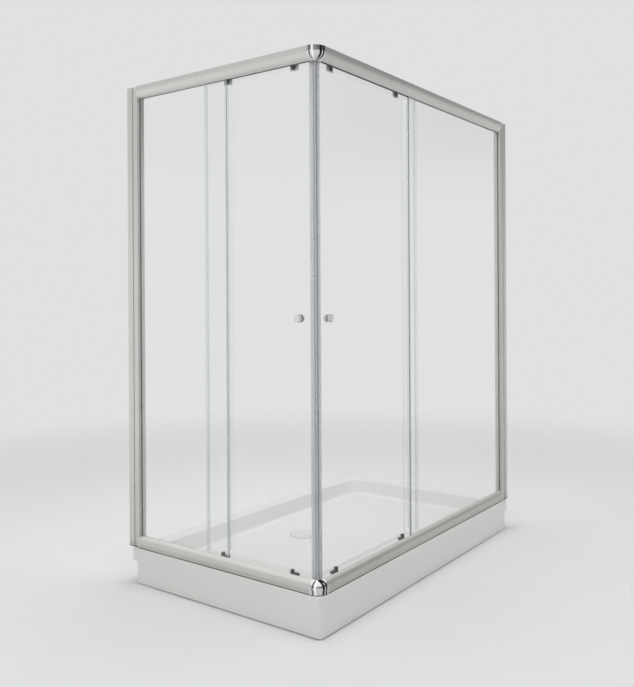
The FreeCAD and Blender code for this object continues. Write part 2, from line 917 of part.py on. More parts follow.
def top_corner_section():
    return [
        (ZERO, connector_height - S.rail_plate), (connector_inner, connector_height - S.rail_plate),
        (connector_inner, ZERO), (connector_lip, ZERO, connector_round, 1),
        (connector_face, connector_height - S.rail_round_start),
        (connector_face, connector_height), (ZERO, connector_height),
    ]


def make_connector(label, section, z, spigot_z):
    body = new_body(label)
    sketch = new_sketch(body, "XZ_Plane")
    draw(sketch, section)
    turn(body, sketch, "V_Axis", QUARTER_TURN)
    near = S.corner_reach - spigot_far
    far = S.corner_reach - spigot_near
    for plane, back in (("YZ_Plane", True), ("XZ_Plane", False)):
        sketch = new_sketch(body, plane)
        draw(sketch, box_corners(near, spigot_z, far, spigot_z + S.spigot_height))
        pad(body, sketch, S.spigot_length, back)
    body.Placement.Rotation = FreeCAD.Rotation(FreeCAD.Vector(0, 0, 1), HALF_TURN)
    place(body, corner_x + S.corner_reach, corner_y + S.corner_reach, z)
    return node(body)


def make_connectors():
    make_connector("corner_connector_bottom", bottom_corner_section(), base_z, bottom_spigot)
    top_drop = connector_height - rail_height
    make_connector("corner_connector_top", top_corner_section(), top_z - connector_height, top_spigot + top_drop)


# Wall channel and side post. The post slides in the channel, which takes up an uneven wall, and the
# fixed glass stands in the post's slot in a gasket.

channel_face = rail_face + S.channel_setback
channel_back = rail_back - S.channel_back_inset
post_face = channel_face + S.channel_wall + S.fit_gap
post_back = channel_back - S.channel_wall - S.fit_gap
post_slot_face = fixed_outer - S.gasket_side
post_slot_back = fixed_inner + S.gasket_side
screw_along = S.post_reach - S.channel_reach + S.screw_inset
screw_levels = [S.screw_end, S.frame_height / 2, S.frame_height - S.screw_end]


def make_channel(side):
    wall = S.post_reach
    mouth = S.post_reach - S.channel_reach
    outline = [
        (wall, channel_face), (wall, channel_back), (mouth, channel_back),
        (mouth, channel_back - S.channel_wall), (wall - S.channel_wall, channel_back - S.channel_wall),
        (wall - S.channel_wall, channel_face + S.channel_wall),
        (mouth, channel_face + S.channel_wall), (mouth, channel_face),
    ]
    start = side.reach - S.post_reach
    body = upright(side.label("wall_channel"), side, [outline], start, ZERO, base_z, S.frame_height)

    holes = new_sketch(body, side.section_plane)
    middle = (channel_face + channel_back) / 2
    half = S.frame_height / 2
    spread = (half - S.wall_hole_end, S.wall_hole_step / 2)
    for offset in spread:
        draw_circle(holes, middle, half - offset, S.wall_hole_radius)
        draw_circle(holes, middle, half + offset, S.wall_hole_radius)
    pocket(body, holes)

    screws = new_sketch(body, side.face_plane, side.face_lift(channel_back))
    for level in screw_levels:
        draw_circle(screws, screw_along, level, S.screw_radius)
    pocket(body, screws, S.channel_wall + S.fit_gap, back=side.along_x)
    return node(body)


def make_post(side):
    depth = S.post_reach - S.post_back_gap
    rear = S.post_slot + S.post_wall
    wall = S.post_wall
    outline = [
        (ZERO, post_face), (ZERO, post_slot_face), (S.post_slot, post_slot_face),
        (S.post_slot, post_slot_back), (ZERO, post_slot_back), (ZERO, post_back),
        (depth, post_back), (depth, post_face),
    ]
    hollows = [
        box_corners(rear, post_face + wall, depth - wall, post_back - wall),
        box_corners(wall, post_face + wall, S.post_slot, post_slot_face - wall),
        box_corners(wall, post_slot_back + wall, S.post_slot, post_back - wall),
    ]
    start = side.reach - S.post_reach
    body = upright(side.label("side_post"), side, [outline] + hollows, start, ZERO, base_z, S.frame_height)
    screws = new_sketch(body, side.face_plane, side.face_lift(post_back))
    for level in screw_levels:
        draw_circle(screws, screw_along, level, S.screw_radius)
    pocket(body, screws, S.post_wall, back=side.along_x)
    return node(body)


def make_post_screws():
    screws = []
    for side in SIDES:
        start = side.reach - S.post_reach + screw_along
        for number, level in enumerate(screw_levels, start=1):
            shape = [
                (ZERO, ZERO), (S.screw_length, ZERO), (S.screw_length, S.screw_head_radius / 2),
                (S.screw_length - S.screw_head / 2, S.screw_head_radius),
                (S.screw_length - S.screw_head, S.screw_head_radius),
                (S.screw_length - S.screw_head, S.screw_radius), (ZERO, S.screw_radius),
            ]
            head_v = channel_back - (S.screw_length - S.screw_head)
            label = side.label(f"post_screw_{number}")
            screws.append(turned(label, side, shape, start, head_v, base_z + level))
    group("post_screws", screws)


# Fixed glass, its strips in the rails, its gasket in the post and the clear seal on its free edge

post_glass_end = S.post_reach - S.post_slot + S.gasket_back
glass_foot = S.slot_floor + S.strip_thick


def make_fixed_glass(side):
    length = side.reach - post_glass_end - side.fixed_edge
    height = S.frame_height - glass_foot * 2
    outline = box_corners(ZERO, ZERO, length, height)
    label = side.label("fixed_glass")
    node(plate(label, side, outline, side.fixed_edge, fixed_outer, base_z + glass_foot, S.glass_thick))


def strip_section(flip):
    low = S.slot_floor
    high = rail_height - S.slot_back_drop
    corners = [
        (slot_outer, low), (slot_inner, low), (slot_inner, high), (fixed_inner, high),
        (fixed_inner, glass_foot), (fixed_outer, glass_foot), (fixed_outer, high), (slot_outer, high),
    ]
    return [(v, rail_height - z) for v, z in corners] if flip else corners


def make_rail_strips():
    strips = []
    for side in SIDES:
        length = side.reach - S.post_reach - S.end_block - side.fixed_edge
        for level, z, flip in (("bottom", base_z, False), ("top", top_rail_z, True)):
            label = side.label(f"{level}_strip")
            strips.append(run_along(label, side, [strip_section(flip)], side.fixed_edge, ZERO, z, length))
    group("rail_glazing_strips", strips)


def make_post_gaskets():
    gaskets = []
    for side in SIDES:
        glass_end = S.post_slot - S.gasket_back
        outline = [
            (ZERO, post_slot_face), (S.post_slot, post_slot_face), (S.post_slot, post_slot_back),
            (ZERO, post_slot_back), (ZERO, fixed_inner), (glass_end, fixed_inner),
            (glass_end, fixed_outer), (ZERO, fixed_outer),
        ]
        height = S.frame_height - rail_height * 2
        start = side.reach - S.post_reach
        label = side.label("post_gasket")
        gaskets.append(upright(label, side, [outline], start, ZERO, base_z + rail_height, height))
    group("post_gaskets", gaskets)


def make_edge_seal(side):
    outer = fixed_outer - S.seal_wall
    inner = fixed_inner + S.seal_wall
    nose = S.seal_nose
    grip = S.seal_nose + S.seal_grip
    clip = [
        (ZERO, outer), (grip, outer), (grip, fixed_outer), (nose, fixed_outer), (nose, fixed_inner),
        (grip, fixed_inner), (grip, inner), (ZERO, inner),
    ]
    start = side.fixed_edge - S.seal_nose
    z = base_z + rail_height + S.fit_gap
    height = S.frame_height - rail_height * 2 - S.fit_gap * 2
    body = upright(side.label("edge_seal"), side, [clip], start, ZERO, z, height)
    tip = door_outer - S.fin_gap
    fin = [
        (S.fin_thick, inner), (S.fin_thick * 2, inner), (nose + S.fin_thick, tip), (nose, tip),
    ]
    sketch = new_sketch(body, "XY_Plane", S.fin_end)
    draw(sketch, side.plan(fin))
    pad(body, sketch, height - S.fin_end * 2)
    return node(body)


# A door: glass, magnet profile, trailing seal, knobs, roller carriers and guides

cap_z = top_z - S.cap_drop


def make_door_glass(side):
    body = new_body(side.label("door_glass"))
    sketch = new_sketch(body, side.face_plane)
    draw(sketch, box_corners(ZERO, ZERO, side.door_edge - S.door_lead, door_height))
    for along in side.rollers.values():
        draw_circle(sketch, along - S.door_lead, cap_z - door_bottom, S.cap_hole_radius)
    draw_circle(sketch, S.knob_along - S.door_lead, S.knob_height - door_bottom, S.knob_hole_radius)
    pad(body, sketch, S.glass_thick, back=side.along_x)
    side.seat(body, S.door_lead, door_outer, door_bottom)
    return node(body)


# The magnet profile grips the glass and ends in a face at 45 degrees, so that the two doors meet
def make_magnet_profile(side):
    outer = door_outer - S.seal_wall
    inner = door_inner + S.seal_wall
    grip = S.door_lead + S.magnet_grip
    pocket_back = S.door_lead - S.magnet_back
    magnet = [
        (door_outer + S.magnet_skin + S.magnet_gap, door_outer),
        (door_inner + S.magnet_skin + S.magnet_gap - S.seal_wall, door_inner - S.seal_wall),
        (pocket_back, door_inner - S.seal_wall), (pocket_back, door_outer),
    ]
    outline = [
        (outer + S.magnet_gap, outer), (grip, outer), (grip, door_outer), (S.door_lead, door_outer),
        (S.door_lead, door_inner), (grip, door_inner), (grip, inner), (inner + S.magnet_gap, inner),
    ]
    name = side.label("magnet_profile")
    node(upright(name, side, [outline, magnet], ZERO, ZERO, door_bottom, door_height))
    strip_name = side.label("magnet_strip")
    node(upright(strip_name, side, [magnet], ZERO, ZERO, door_bottom, door_height))


def make_trailing_seal(side):
    outer = door_outer - S.seal_wall
    inner = door_inner + S.seal_wall
    edge = S.seal_grip
    back = S.seal_grip + S.seal_wall
    tip = fixed_inner + S.fin_gap
    outline = [
        (ZERO, door_outer), (edge, door_outer), (edge, door_inner), (ZERO, door_inner), (ZERO, inner),
        (back, inner), (back, outer), (edge, tip), (edge - S.fin_thick, tip),
        (back - S.fin_thick, outer), (ZERO, outer),
    ]
    start = side.door_edge - S.seal_grip
    z = base_z + rail_height + S.fit_gap
    height = S.frame_height - rail_height * 2 - S.fit_gap * 2
    node(upright(side.label("trailing_seal"), side, [outline], start, ZERO, z, height))


def knob_corners(inward):
    length = S.knob_length
    head = S.knob_length - S.knob_neck
    flat = S.knob_radius - S.knob_edge_round
    corners = [
        (ZERO, ZERO), (ZERO, flat, S.knob_edge_round, -1), (S.knob_edge_round, S.knob_radius),
        (head, S.knob_radius), (head, S.knob_neck_radius), (length, S.knob_neck_radius),
        (length, S.stud_radius), (length - S.stud_seat, S.stud_radius), (length - S.stud_seat, ZERO),
    ]
    if not inward:
        return corners
    return [(length - corner[0], corner[1]) + flipped_arc(corner) for corner in corners]


def flipped_arc(corner):
    return (corner[2], -corner[3]) if len(corner) == 4 else ()


def make_knobs(side):
    outer_v = door_outer - S.knob_length
    node(turned(side.label("outer_knob"), side, knob_corners(False), S.knob_along, outer_v, S.knob_height))
    node(turned(side.label("inner_knob"), side, knob_corners(True), S.knob_along, door_inner, S.knob_height))
    stud_length = S.glass_thick + S.stud_seat * 2
    stud = box_corners(ZERO, ZERO, stud_length, S.stud_radius)
    stud_v = door_outer - S.stud_seat
    node(turned(side.label("knob_stud"), side, stud, S.knob_along, stud_v, S.knob_height))


# A roller carrier is a plate on the door's inner face with the wheel's axle on it, and a cap with a
# stem that comes through the glass from outside
def make_carriers(side):
    pieces = []
    carrier_z = top_z - S.carrier_drop
    axle_rise = axle_z - carrier_z
    arm_top = axle_rise + S.carrier_over_axle
    arm_start = (S.carrier_width - S.carrier_arm) / 2
    arm_end = arm_start + S.carrier_arm
    outline = [
        (ZERO, ZERO), (S.carrier_width, ZERO), (S.carrier_width, S.carrier_foot),
        (arm_end, S.carrier_foot), (arm_end, arm_top), (arm_start, arm_top),
        (arm_start, S.carrier_foot), (ZERO, S.carrier_foot),
    ]
    axle_length = door_inner - wheel_v + S.axle_end
    for place_name, along in side.rollers.items():
        label = side.label(f"{place_name}_carrier")
        start = along - S.carrier_width / 2
        body = plate(label, side, outline, start, door_inner, carrier_z, S.carrier_thick)
        for radius, length in ((S.axle_shoulder_radius, S.axle_shoulder), (S.axle_radius, axle_length)):
            sketch = new_sketch(body, side.face_plane)
            draw_circle(sketch, S.carrier_width / 2, axle_rise, radius)
            pad(body, sketch, length, back=not side.along_x)
        pieces.append(body)
        cap_end = S.cap_thick + S.glass_thick
        cap = [
            (ZERO, ZERO), (ZERO, S.cap_radius), (S.cap_thick, S.cap_radius),
            (S.cap_thick, S.cap_stem_radius), (cap_end, S.cap_stem_radius), (cap_end, ZERO),
        ]
        cap_label = side.label(f"{place_name}_cap")
        pieces.append(turned(cap_label, side, cap, along, door_outer - S.cap_thick, cap_z))
    group(side.label("roller_carriers"), pieces)


# The top wheel's groove runs over the bead of the track
bead_middle = track_wall + S.bead_inset + S.bead_width / 2
wheel_v = bead_middle - S.wheel_width / 2


def make_top_wheel(side, place_name, along):
    bore = S.axle_radius + S.axle_gap
    groove_half = S.bead_width / 2 + S.fit_gap
    groove_start = S.wheel_width / 2 - groove_half
    groove_end = S.wheel_width / 2 + groove_half
    groove_radius = S.wheel_radius - S.wheel_groove
    corners = [
        (ZERO, bore), (S.wheel_width, bore), (S.wheel_width, S.wheel_radius),
        (groove_end, S.wheel_radius), (groove_end, groove_radius), (groove_start, groove_radius),
        (groove_start, S.wheel_radius), (ZERO, S.wheel_radius),
    ]
    node(turned(side.label(f"top_wheel_{place_name}"), side, corners, along, wheel_v, axle_z))


# A guide clips round the door's bottom edge, low where its plunger is and tall at the end that grips
# the glass. The plunger slides in the inner block and carries the guide wheel, which runs in the
# bottom rail's channel.

guide_v = door_outer - S.guide_plate
guide_z = door_bottom - S.guide_floor
plunger_v = door_inner + S.plunger_inset
guide_wheel_v = plunger_v - S.guide_wheel_gap - S.guide_wheel_width
plunger_z = guide_axle_z - S.plunger_foot
thumb_rise = guide_z + S.guide_height + S.fit_gap - plunger_z


def make_guides(side):
    bodies = []
    glass_outer = S.guide_plate
    glass_inner = S.guide_plate + S.glass_thick
    inner = glass_inner + S.guide_depth
    tab_top = S.guide_height + S.guide_tab_rise
    low_width = S.guide_width - S.guide_tab
    section = [
        (ZERO, ZERO), (inner, ZERO), (inner, tab_top), (glass_inner, tab_top),
        (glass_inner, S.guide_floor), (glass_outer, S.guide_floor), (glass_outer, tab_top),
        (ZERO, tab_top),
    ]
    for place_name, along in side.guides.items():
        label = side.label(f"{place_name}_guide")
        start = along - low_width / 2
        body = run_along(label, side, [section], start, guide_v, guide_z, S.guide_width)

        step = new_sketch(body, side.face_plane)
        draw(step, box_corners(ZERO, S.guide_height, low_width, tab_top))
        pocket(body, step, inner, back=not side.along_x)

        slot = new_sketch(body, "XY_Plane")
        half = S.plunger_width / 2 + S.fit_gap
        middle = low_width / 2
        near = plunger_v - guide_v - S.fit_gap
        far = near + S.plunger_thick + S.fit_gap * 2
        draw(slot, side.plan(box_corners(middle - half, near, middle + half, far)))
        pocket(body, slot)
        bodies.append(body)
    group(side.label("guide_bodies"), bodies)


def make_plunger(side, place_name, along):
    stem_start = (S.thumb_width - S.plunger_width) / 2
    stem_end = stem_start + S.plunger_width
    thumb_top = thumb_rise + S.thumb_height
    outline = [
        (stem_start, ZERO), (stem_end, ZERO), (stem_end, thumb_rise), (S.thumb_width, thumb_rise),
        (S.thumb_width, thumb_top), (ZERO, thumb_top), (ZERO, thumb_rise), (stem_start, thumb_rise),
    ]
    label = side.label(f"release_plunger_{place_name}")
    start = along - S.thumb_width / 2
    body = plate(label, side, outline, start, plunger_v, plunger_z, S.plunger_thick)
    sketch = new_sketch(body, side.face_plane)
    draw_circle(sketch, S.thumb_width / 2, S.plunger_foot, S.guide_axle_radius)
    reach = S.guide_wheel_gap + S.guide_wheel_width + S.axle_end
    pad(body, sketch, reach, back=not side.along_x)
    node(body)


def make_guide_wheel(side, place_name, along):
    bore = S.guide_axle_radius + S.axle_gap
    edge = S.guide_wheel_edge
    width = S.guide_wheel_width
    radius = S.guide_wheel_radius
    corners = [
        (ZERO, bore), (width, bore), (width, radius - edge), (width - edge, radius),
        (edge, radius), (ZERO, radius - edge),
    ]
    node(turned(side.label(f"guide_wheel_{place_name}"), side, corners, along, guide_wheel_v, guide_axle_z))


# Rubber stops in the top rails meet the carriers at both ends of the door's travel
def make_stops():
    stops = []
    roof_z = top_z - S.rail_plate
    arm_half = S.carrier_arm / 2
    for side in SIDES:
        closed = side.rollers["front"] - arm_half - S.fit_gap - S.stop_length
        opened = side.rollers["rear"] + arm_half + side.travel + S.fit_gap
        for word, start in (("closed", closed), ("open", opened)):
            label = side.label(f"{word}_stop")
            stop_v = inner_wall - S.stop_depth
            stop_z = roof_z - S.stop_height
            stops.append(block(label, side, start, stop_v, stop_z, S.stop_length, S.stop_depth, S.stop_height))
    group("door_stops", stops)


make_tray()
make_board()
make_legs()
make_waste()
make_connectors()
make_end_blocks()
make_rail_strips()
make_post_gaskets()
make_post_screws()
make_stops()
for side in SIDES:
    make_channel(side)
    make_post(side)
    make_rails(side)
    make_fixed_glass(side)
    make_edge_seal(side)
    make_door_glass(side)
    make_magnet_profile(side)
    make_trailing_seal(side)
    make_knobs(side)
    make_carriers(side)
    make_guides(side)
    for place_name, along in side.rollers.items():
        make_top_wheel(side, place_name, along)
    for place_name, along in side.guides.items():
        make_plunger(side, place_name, along)
        make_guide_wheel(side, place_name, along)

doc.recompute()
for obj in doc.Objects:
    if "Invalid" in obj.State or "Error" in obj.State:
        raise RuntimeError(f"{obj.Label} did not build: {obj.State}")
for obj in nodes:
    if obj.Shape.isNull() or not obj.Shape.isValid() or not obj.Shape.Solids:
        raise RuntimeError(f"{obj.Label} has no valid solid")

os.makedirs("parts", exist_ok=True)
for obj in nodes:
    obj.Shape.exportStep(f"parts/{obj.Label}.step")
print(len(nodes), "pieces written")
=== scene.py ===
# %% [markdown]
# # Dressing a corner shower
#
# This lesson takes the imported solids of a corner-entry shower and gives them the look of the real one: satin
# aluminium rails, chrome corners and knobs, a glossy white tray and clear glass. The solids already have the true
# shapes and sizes, so nothing is moved here. What the lesson makes is the finish of every piece, the studio round
# it and the camera. All lengths are in metres, and the tray stands on height zero.

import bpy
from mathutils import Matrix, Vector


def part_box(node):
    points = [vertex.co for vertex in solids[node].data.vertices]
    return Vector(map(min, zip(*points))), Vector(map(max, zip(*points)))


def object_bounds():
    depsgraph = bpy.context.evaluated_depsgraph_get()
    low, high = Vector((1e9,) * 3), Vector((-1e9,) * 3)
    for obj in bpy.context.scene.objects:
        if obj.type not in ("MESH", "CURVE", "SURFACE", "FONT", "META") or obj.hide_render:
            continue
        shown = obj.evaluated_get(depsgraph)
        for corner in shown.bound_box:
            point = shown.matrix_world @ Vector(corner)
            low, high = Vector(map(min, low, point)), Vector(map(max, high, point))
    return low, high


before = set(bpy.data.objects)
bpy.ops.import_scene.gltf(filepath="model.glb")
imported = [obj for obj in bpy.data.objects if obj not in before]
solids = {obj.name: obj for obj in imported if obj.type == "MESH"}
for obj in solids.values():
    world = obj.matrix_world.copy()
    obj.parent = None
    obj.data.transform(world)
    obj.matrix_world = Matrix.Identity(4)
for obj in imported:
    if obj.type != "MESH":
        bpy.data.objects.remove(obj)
packed_box = [list(corner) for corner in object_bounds()]
print(len(solids), "solids, from", packed_box[0], "to", packed_box[1])

# %% [markdown]
# ## The camera
#
# The photograph was taken from in front of the entry corner, at chest height, with the camera held level. It could
# be set by eye with a track-to constraint, but a level camera that keeps uprights parallel is a lens shifted down,
# so the place, the turn and the shift are written out. The angles come from lining up the rails, the posts and the
# tray's edges with the photograph.

# %% Set the camera
import math
import bpy
from mathutils import Matrix, Vector

PHOTO_WIDE, PHOTO_TALL = 634, 687
FOCAL_PIXELS = 784.38
AXIS_PIXEL = (318.14, 295.16)
EYE = Vector((-2.7954, -1.9483, 1.1103))
TURN = math.radians(36.21)
TILT = math.radians(-0.329)

ahead = Vector((math.cos(TURN), math.sin(TURN), 0))
level = Vector((math.sin(TURN), -math.cos(TURN), 0))
plumb = Vector((0, 0, 1))
rightward = math.cos(TILT) * level + math.sin(TILT) * plumb
upward = math.cos(TILT) * plumb - math.sin(TILT) * level

lens = bpy.data.cameras.new("shower_view")
lens.lens = FOCAL_PIXELS * lens.sensor_width / PHOTO_TALL
lens.shift_x = (PHOTO_WIDE / 2 - AXIS_PIXEL[0]) / PHOTO_TALL
lens.shift_y = (AXIS_PIXEL[1] - PHOTO_TALL / 2) / PHOTO_TALL
viewer = bpy.data.objects.new("shower_view", lens)
viewer.matrix_world = Matrix.Translation(EYE) @ Matrix((rightward, upward, -ahead)).transposed().to_4x4()
bpy.context.collection.objects.link(viewer)
bpy.context.scene.camera = viewer
bpy.context.scene.view_settings.view_transform = "Standard"
print("lens of", round(lens.lens, 2), "mm, lowered by", round(-lens.shift_y, 4), "of the frame")

# %% [markdown]
# ## Writing a finish as arithmetic
#
# A finish in Blender is a tree of nodes. Trees can be drawn by hand, but a long tree is hard to read back, so here
# one small class wraps a socket and lets Python's own signs add the Math nodes: `0.3 + 0.1 * grain` is then a
# tree of two nodes. Every other node comes from the method `node`, which sets the node's own settings first and
# then the values or wires of its sockets.

# %% A wire that can be added and multiplied
class Wire:
    """One socket of a finish, with the arithmetic that finishes need."""

    def __init__(self, tree, socket=None):
        self.tree, self.socket = tree, socket

    def node(self, kind, settings=None, sockets=None, out=0):
        """Adds a node: its settings first, then the values or wires of its sockets."""
        made = self.tree.nodes.new(kind)
        for name, value in (settings or {}).items():
            if name == "stops":
                lay_stops(made.color_ramp, value)
            else:
                setattr(made, name, value)
        for name, value in (sockets or {}).items():
            if isinstance(value, Wire):
                self.tree.links.new(value.socket, made.inputs[name])
            else:
                made.inputs[name].default_value = value
        return Wire(self.tree, made.outputs[out]) if made.outputs else None

    def math(self, operation, first, second):
        return self.node("ShaderNodeMath", {"operation": operation}, {0: first, 1: second})

    def __add__(self, other):
        return self.math("ADD", self, other)

    __radd__ = __add__

    def __sub__(self, other):
        return self.math("SUBTRACT", self, other)

    def __rsub__(self, other):
        return self.math("SUBTRACT", other, self)

    def __mul__(self, other):
        return self.math("MULTIPLY", self, other)

    __rmul__ = __mul__


def lay_stops(ramp, stops):
    """Gives a colour ramp its stops, each a place from 0 to 1 and a colour."""
    while len(ramp.elements) > 1:
        ramp.elements.remove(ramp.elements[-1])
    for count, (at, colour) in enumerate(stops):
        stop = ramp.elements[0] if count == 0 else ramp.elements.new(at)
        stop.position, stop.color = at, colour


print("a Wire adds, subtracts and multiplies")

# %% [markdown]
# ## Helpers shared by all finishes
#
# Nearly every surface of a bathroom is made of the same few effects: a slow cloud of colour, a fine grain, a soft
# step from one state to another, and a shallow relief. They could be repeated in each finish, but named once they
# read as words. The coordinates are the solid's own, which are metres, so a grain has a real size.

# %% Clouds, grains, steps and relief
def begin(name):
    """Starts a finish and gives it with the wire of the solid's own coordinates."""
    finish = bpy.data.materials.new(name)
    finish.use_nodes = True
    finish.node_tree.nodes.clear()
    return finish, Wire(finish.node_tree).node("ShaderNodeTexCoord", out="Object")


def rgb(red, green, blue):
    return (red, green, blue, 1.0)


def stretched(place, along_x, along_y, along_z):
    """Coordinates multiplied per axis: a small factor draws a pattern out along that axis."""
    return place.node("ShaderNodeVectorMath", {"operation": "MULTIPLY"}, {0: place, 1: (along_x, along_y, along_z)})


def cloud(place, per_metre, detail=2.0):
    """A soft random field from 0 to 1, with this many swells to the metre."""
    return place.node("ShaderNodeTexNoise", None, {"Vector": place, "Scale": per_metre, "Detail": detail}, "Fac")


def cells(place, per_metre, out="Distance"):
    """A field of irregular cells, with this many to the metre."""
    return place.node("ShaderNodeTexVoronoi", None, {"Vector": place, "Scale": per_metre}, out)


def step(value, start, end):
    """0 below start, 1 above end and smooth between."""
    return value.node(
        "ShaderNodeMapRange",
        {"interpolation_type": "SMOOTHSTEP"},
        {"Value": value, "From Min": start, "From Max": end},
    )


def blend(share, first, second):
    """One colour passing into another by a share from 0 to 1."""
    return share.node("ShaderNodeMix", {"data_type": "RGBA"}, {0: share, 6: first, 7: second}, 2)


def relief(height, depth, strength=1.0):
    """A normal from a height field, with its depth in metres."""
    return height.node("ShaderNodeBump", None, {"Height": height, "Distance": depth, "Strength": strength}, "Normal")


def axis_of(vector, axis):
    """One coordinate of a vector, by its letter."""
    return vector.node("ShaderNodeSeparateXYZ", None, {"Vector": vector}, axis)


def surface(place, **sockets):
    """The shader of a finish. Words in socket names are joined by underscores here."""
    named = {name.replace("_", " "): value for name, value in sockets.items()}
    return place.node("ShaderNodeBsdfPrincipled", None, named)


def close(finish, shader):
    """Ends a finish with its output."""
    shader.node("ShaderNodeOutputMaterial", None, {"Surface": shader})
    print("finish", finish.name, "has", len(finish.node_tree.nodes), "nodes")
    return finish


def dress(finish, *names):
    """Gives a finish to solids by name."""
    for name in names:
        for slot in solids[name].material_slots:
            slot.material = finish
    dressed.update(names)


dressed = set()
print("helpers made;", len(solids), "solids to dress")

# %% [markdown]
# ## Satin aluminium
#
# The rails, the posts and the wall channels are aluminium pushed through a die, etched matt and anodised. The die
# leaves hair-fine lines along the run, the etch makes the shine broad, and years of hands leave slow duller patches.
# A dark painted shade lies in the joint on top of the tray, and a lighter painted shade in a band above it. One
# finish for all would draw the lines across some pieces, so it is made three times, each drawn out along its own run.

# %% The satin finish, along each run
TRAY_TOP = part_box("shower_tray")[1][2]
# Painted shade: a dark line in the joint just above the tray, and a milder painted shade in the band above it.
JOINT_SHADE_SOLID, JOINT_SHADE_GONE = TRAY_TOP + 0.0012, TRAY_TOP + 0.0032
LOW_SHADE_SOLID, LOW_SHADE_GONE = TRAY_TOP + 0.004, TRAY_TOP + 0.026
JOINT_SHADE_TONE, LOW_SHADE_TONE = rgb(0.06, 0.058, 0.055), rgb(0.40, 0.39, 0.375)


def satin_aluminium(name, fine_x, fine_y, fine_z):
    finish, place = begin(name)
    die_lines = cloud(stretched(place, fine_x, fine_y, fine_z), 1.0, 3.0)
    etch = cloud(place, 900.0, 2.0)
    slow = cloud(place, 3.5, 3.0)
    handled = step(cloud(place, 22.0, 4.0), 0.58, 0.78)
    bright = blend(die_lines, rgb(0.62, 0.61, 0.59), rgb(0.74, 0.73, 0.71))
    aged = blend(slow * 0.35, bright, rgb(0.60, 0.59, 0.575))
    touched = blend(handled * 0.22, aged, rgb(0.52, 0.51, 0.495))
    # Painted shade in the joint on the tray and, more thinly, in the band above it.
    joint_shade = 1 - step(axis_of(place, "Z") - 0.002 * slow, JOINT_SHADE_SOLID, JOINT_SHADE_GONE)
    low_shade = 1 - step(axis_of(place, "Z") - 0.008 * slow, LOW_SHADE_SOLID, LOW_SHADE_GONE)
    tone = blend(joint_shade * 0.85, blend(low_shade * 0.4, touched, LOW_SHADE_TONE), JOINT_SHADE_TONE)
    rough = 0.33 + 0.10 * die_lines + 0.07 * slow + 0.05 * handled
    grain = die_lines * 0.7 + etch * 0.3
    return close(
        finish,
        surface(place, Base_Color=tone, Metallic=1.0, Roughness=rough, Normal=relief(grain, 0.00012, 0.35)),
    )


LINE, CROSS = 2.5, 700.0
satin_across = satin_aluminium("satin_aluminium_short_side", CROSS, LINE, CROSS)
satin_along = satin_aluminium("satin_aluminium_long_side", LINE, CROSS, CROSS)
satin_upright = satin_aluminium("satin_aluminium_upright", CROSS, CROSS, LINE)
dress(satin_across, "top_rail_left", "bottom_rail_left")
dress(satin_along, "top_rail_right", "bottom_rail_right")
dress(satin_upright, "wall_channel_left", "wall_channel_right", "side_post_left", "side_post_right")

# %% [markdown]
# ## Polished chrome
#
# The corner connectors, the knobs and the rim of the waste are zinc or brass, buffed and chromed. Chrome is a mirror
# with very little of its own colour: what one sees is the room. The buffing wheel leaves a slight ripple, and
# fingers and dried drops leave patches that are a little less sharp, so the roughness varies and the colour hardly
# does. A dark painted shade lies in the joint on the tray here too, and the rim of the waste, which lies lower, is
# left without it.

# %% The chrome finish
# The band of painted shade in the joint on the tray, from just below its top to just above it.
JOINT_FOOT, JOINT_START = TRAY_TOP - 0.003, TRAY_TOP - 0.002
CHROME_BRIGHT, CHROME_FILMED = rgb(0.66, 0.665, 0.675), rgb(0.58, 0.585, 0.59)
CHROME_JOINT_SHADE = rgb(0.05, 0.049, 0.047)

chrome, place = begin("polished_chrome")
buffing = cloud(place, 45.0, 2.0)
fingers = step(cloud(place, 130.0, 5.0), 0.52, 0.72)
drops = 1 - step(cells(place, 260.0), 0.10, 0.22)
film = fingers * 0.7 + drops * 0.3
height = axis_of(place, "Z")
# Painted shade in the joint on the tray, kept off the lower rim of the waste.
below = 1 - step(height - 0.002 * film, JOINT_SHADE_SOLID, JOINT_SHADE_GONE)
joint_shade = below * step(height, JOINT_FOOT, JOINT_START)
tone = blend(joint_shade * 0.8, blend(film, CHROME_BRIGHT, CHROME_FILMED), CHROME_JOINT_SHADE)
close(
    chrome,
    surface(
        place,
        Base_Color=tone,
        Metallic=1.0,
        Roughness=0.07 + 0.07 * film + 0.03 * buffing,
        Normal=relief(buffing, 0.0006, 0.15),
    ),
)
dress(chrome, "corner_connector_top", "corner_connector_bottom", "waste_flange")
dress(chrome, "outer_knob_left", "outer_knob_right", "inner_knob_left", "inner_knob_right")

# %% [markdown]
# ## White acrylic
#
# The tray is one sheet of sanitary acrylic drawn over a mould, white all through and glossy, with a faint orange
# peel from the heated sheet. It yellows a little unevenly, floor dust greys the foot of the aprons, and cleaning
# leaves fine scuffs where people stand. A plain white would look like paper, so all of these are laid in very thinly.

# %% The acrylic finish
acrylic, place = begin("white_acrylic")
height = axis_of(place, "Z")
yellowing = cloud(place, 2.2, 3.0)
peel = cloud(place, 240.0, 1.0)
scuffs = step(cloud(stretched(place, 1.0, 3.0, 1.0), 60.0, 5.0), 0.56, 0.74)
foot = 1 - step(height + 0.012 * cloud(place, 14.0, 3.0), 0.004, 0.034)
fresh = blend(yellowing, rgb(0.84, 0.835, 0.82), rgb(0.80, 0.795, 0.775))
worn = blend(scuffs * 0.10, fresh, rgb(0.74, 0.735, 0.72))
tone = blend(foot * 0.25, worn, rgb(0.62, 0.605, 0.58))
close(
    acrylic,
    surface(
        place,
        Base_Color=tone,
        Roughness=0.14 + 0.06 * yellowing + 0.10 * scuffs + 0.2 * foot,
        Coat_Weight=0.35 - 0.2 * scuffs,
        Coat_Roughness=0.06,
        IOR=1.49,
        Normal=relief(peel, 0.0002, 0.2),
    ),
)
dress(acrylic, "shower_tray")

